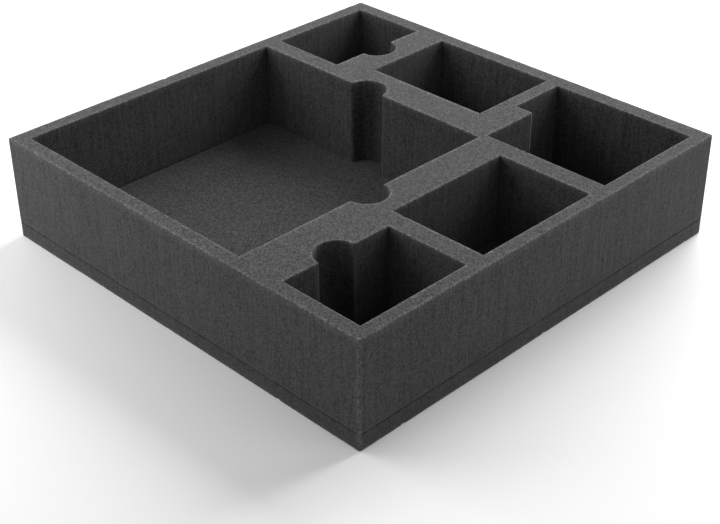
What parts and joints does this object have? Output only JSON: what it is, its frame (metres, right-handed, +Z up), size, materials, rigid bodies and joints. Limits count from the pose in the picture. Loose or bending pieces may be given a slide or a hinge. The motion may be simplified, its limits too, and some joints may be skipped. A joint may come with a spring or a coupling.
{
  "type": "foam box insert organizer",
  "caption": "Square dark foam insert with straight-walled wells and half-round finger notches that sorts tiles, cards, tokens and figures inside a games box.",
  "frame": {"origin": "centre of the insert's square underside", "axes": "+Z up through the open wells, +X along the front side from the tile well's side to the card deck's side, +Y to the rear"},
  "size_m": [0.285, 0.285, 0.065],
  "materials": {
    "cut_foam": "matte",
    "sheet_foam": "matte",
    "bond": "satin"
  },
  "bodies": {
    "root": {"cut_foam_frame": "cut_foam", "adhesive_bond": "bond", "foam_base_sheet": "sheet_foam"}
  },
  "joints": []
}
